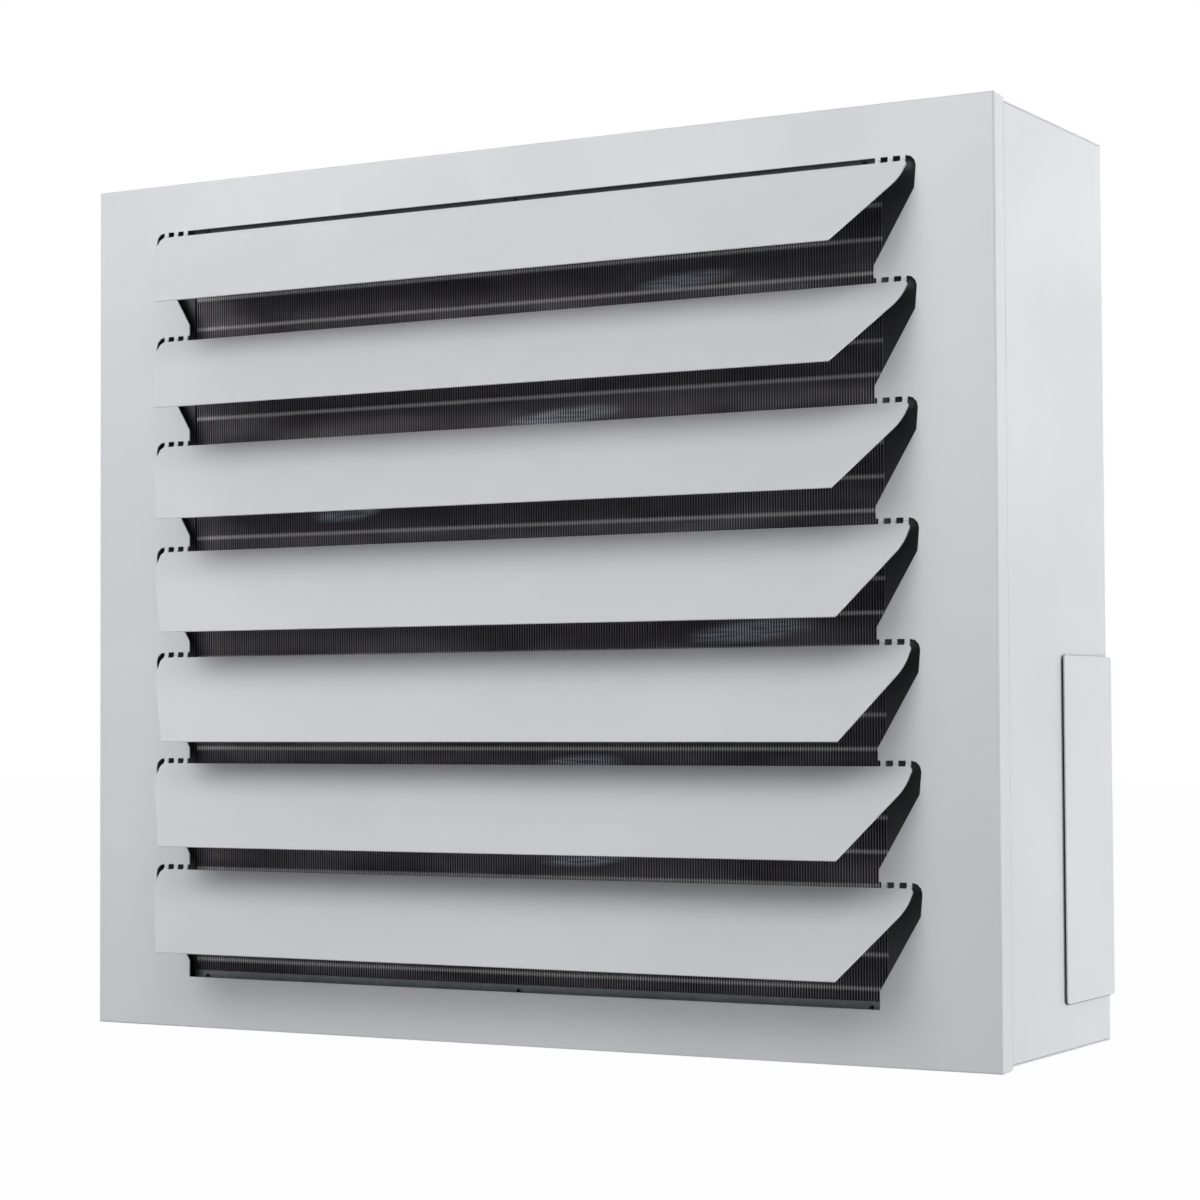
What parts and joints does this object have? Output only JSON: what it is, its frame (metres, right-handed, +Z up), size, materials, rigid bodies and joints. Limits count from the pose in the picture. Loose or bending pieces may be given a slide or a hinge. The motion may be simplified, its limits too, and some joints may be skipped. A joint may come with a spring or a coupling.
{
  "type": "ceiling mounted fan heater",
  "caption": "Suspended warm-air unit heater: a sheet-steel casing with hand-set sloping louvres, a finned water coil behind them and an axial fan on a wire basket at the rear.",
  "frame": {"origin": "on the flat top of the casing, midway between the four hanger inserts", "axes": "+Z up out of the casing's top, -Y the way the warm air leaves through the louvres, +X to the right of someone who faces the louvres, on the service cover's side"},
  "size_m": [0.6574, 0.2636, 0.565],
  "materials": {
    "white_paint": "satin",
    "galvanised": "satin",
    "black_fin": "satin",
    "copper": "satin",
    "brass": "satin",
    "black_paint": "satin",
    "black_casting": "satin",
    "rubber": "matte",
    "zinc_screw": "polished",
    "grey_plastic": "matte",
    "pale_nylon": "matte"
  },
  "bodies": {
    "casing": {"front_panel": "white_paint", "side_panel_right": "white_paint", "side_panel_left": "white_paint", "top_panel": "white_paint", "bottom_panel": "white_paint", "hanger_insert_1": "zinc_screw", "hanger_insert_2": "zinc_screw", "hanger_insert_3": "zinc_screw", "hanger_insert_4": "zinc_screw", "panel_clip_1": "zinc_screw", "panel_clip_2": "zinc_screw", "panel_clip_3": "zinc_screw", "panel_clip_4": "zinc_screw", "rear_panel": "white_paint", "coil_fins": "black_fin", "coil_channel_top": "galvanised", "coil_channel_bottom": "galvanised", "coil_end_plate_right": "black_paint", "coil_end_plate_left": "black_paint", "supply_header": "copper", "return_header": "copper", "drain_plug": "brass", "air_vent": "brass", "pipe_grommet_supply": "rubber", "pipe_grommet_return": "rubber", "motor_stator": "black_casting", "fan_basket": "black_paint", "basket_screw_1": "zinc_screw", "basket_screw_2": "zinc_screw", "basket_screw_3": "zinc_screw", "basket_screw_4": "zinc_screw", "service_cover_seal": "rubber", "service_cover": "white_paint", "cover_screw_1": "zinc_screw", "cover_screw_2": "zinc_screw", "terminal_bracket": "galvanised", "terminal_strip": "pale_nylon", "run_capacitor": "pale_nylon", "capacitor_clip": "zinc_screw", "cable_gland_1": "grey_plastic", "gland_nut_1": "grey_plastic", "cable_gland_2": "grey_plastic", "gland_nut_2": "grey_plastic"},
    "louvre_1_body": {"louvre_1": "white_paint"},
    "louvre_2_body": {"louvre_2": "white_paint"},
    "louvre_3_body": {"louvre_3": "white_paint"},
    "louvre_4_body": {"louvre_4": "white_paint"},
    "louvre_5_body": {"louvre_5": "white_paint"},
    "louvre_6_body": {"louvre_6": "white_paint"},
    "louvre_7_body": {"louvre_7": "white_paint"},
    "fan_rotor": {"fan_impeller": "black_casting", "motor_rotor": "black_casting"}
  },
  "joints": [
    {"name": "louvre_1_tilt", "type": "hinge", "parent": "casing", "child": "louvre_1_body", "pos_m": [0, -0.0895, -0.0319], "axis": [-1, 0, 0], "range_deg": [-42.4, 47.6]},
    {"name": "louvre_2_tilt", "type": "hinge", "parent": "casing", "child": "louvre_2_body", "pos_m": [0, -0.0895, -0.1027], "axis": [-1, 0, 0], "range_deg": [-43.4, 46.6]},
    {"name": "louvre_3_tilt", "type": "hinge", "parent": "casing", "child": "louvre_3_body", "pos_m": [0, -0.0895, -0.1735], "axis": [-1, 0, 0], "range_deg": [-40.9, 49.1]},
    {"name": "louvre_4_tilt", "type": "hinge", "parent": "casing", "child": "louvre_4_body", "pos_m": [0, -0.0895, -0.2443], "axis": [-1, 0, 0], "range_deg": [-36.5, 53.5]},
    {"name": "louvre_5_tilt", "type": "hinge", "parent": "casing", "child": "louvre_5_body", "pos_m": [0, -0.0895, -0.3151], "axis": [-1, 0, 0], "range_deg": [-35.1, 54.9]},
    {"name": "louvre_6_tilt", "type": "hinge", "parent": "casing", "child": "louvre_6_body", "pos_m": [0, -0.0895, -0.3859], "axis": [-1, 0, 0], "range_deg": [-38.7, 51.3]},
    {"name": "louvre_7_tilt", "type": "hinge", "parent": "casing", "child": "louvre_7_body", "pos_m": [0, -0.0895, -0.4567], "axis": [-1, 0, 0], "range_deg": [-41.4, 48.6]},
    {"name": "fan_spin", "type": "hinge", "parent": "casing", "child": "fan_rotor", "pos_m": [0, 0.04, -0.2795], "axis": [0, -1, 0], "continuous": true}
  ]
}
